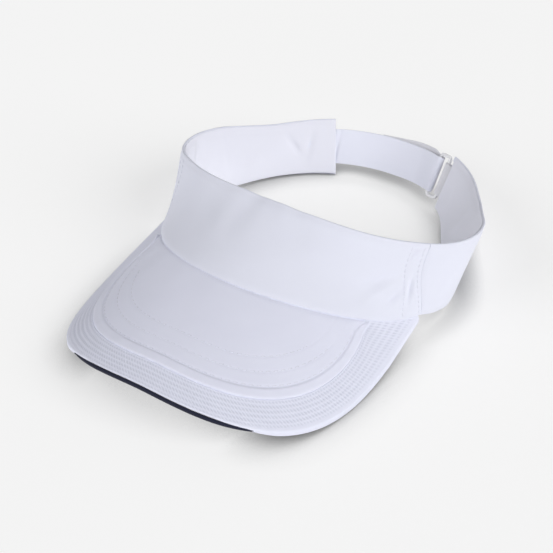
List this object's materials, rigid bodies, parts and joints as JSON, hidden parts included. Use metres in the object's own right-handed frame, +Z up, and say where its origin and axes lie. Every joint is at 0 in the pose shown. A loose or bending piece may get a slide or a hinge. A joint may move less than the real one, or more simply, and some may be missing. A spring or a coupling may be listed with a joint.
{
  "type": "sun visor",
  "caption": "Open-crown sun visor: curved stitched bill, front panel and side band, closed behind by a strap through a ring with a hook-and-loop tail.",
  "frame": {"origin": "middle of the whole visor in plan, on the surface that it rests on", "axes": "+Z up with the visor resting as on a table, -Y the way the bill points, +X the wearer's left"},
  "size_m": [0.1954, 0.2868, 0.0693],
  "materials": {
    "shell_cloth": "smooth white woven polyester",
    "lining_cloth": "soft brushed white lining",
    "stiff_backing": "stiff open-weave backing",
    "mesh_cloth": "white mesh knit with slanted oval holes",
    "dark_cloth": "dark navy woven cloth",
    "tail_cloth": "off-white webbing",
    "thread": "white sewing thread",
    "loop_tape": "soft looped pile",
    "hook_tape": "moulded hooks",
    "board_plastic": "bendy polyethylene sheet",
    "ring_plastic": "glossy white moulding"
  },
  "bodies": {
    "visor": {"front_panel": "shell_cloth", "front_backing": "stiff_backing", "front_top_hem": "shell_cloth", "front_sweatband": "lining_cloth", "left_side_panel": "shell_cloth", "right_side_panel": "shell_cloth", "left_lining": "lining_cloth", "right_lining": "lining_cloth", "left_seam_stitches": "thread", "right_seam_stitches": "thread", "sweatband_stitches": "thread", "bill_seam_tape": "dark_cloth", "bill_board": "board_plastic", "bill_top_panel": "shell_cloth", "bill_mesh_border": "mesh_cloth", "bill_under_panel": "dark_cloth", "bill_edge_binding": "dark_cloth", "bill_stitch_row_1": "thread", "bill_stitch_row_2": "thread", "bill_stitch_row_3": "thread", "back_strap": "shell_cloth", "loop_tape": "loop_tape", "strap_anchor_stitches": "thread", "ring_keeper": "tail_cloth", "keeper_stitches": "thread"},
    "ring": {"ring_buckle": "ring_plastic"},
    "tail": {"strap_tail": "tail_cloth", "hook_tape": "hook_tape"}
  },
  "joints": [
    {"name": "tail_peel", "type": "hinge", "parent": "visor", "child": "tail", "pos_m": [0.02841, 0.1329, 0.01682], "axis": [-0.0553, -0.5558, -0.8295], "range_deg": [0, 130]},
    {"name": "ring_swing", "type": "hinge", "parent": "visor", "child": "ring", "pos_m": [0.03604, 0.12696, 0.01783], "axis": [0.0553, 0.5558, 0.8295], "range_deg": [-4, 4]}
  ]
}
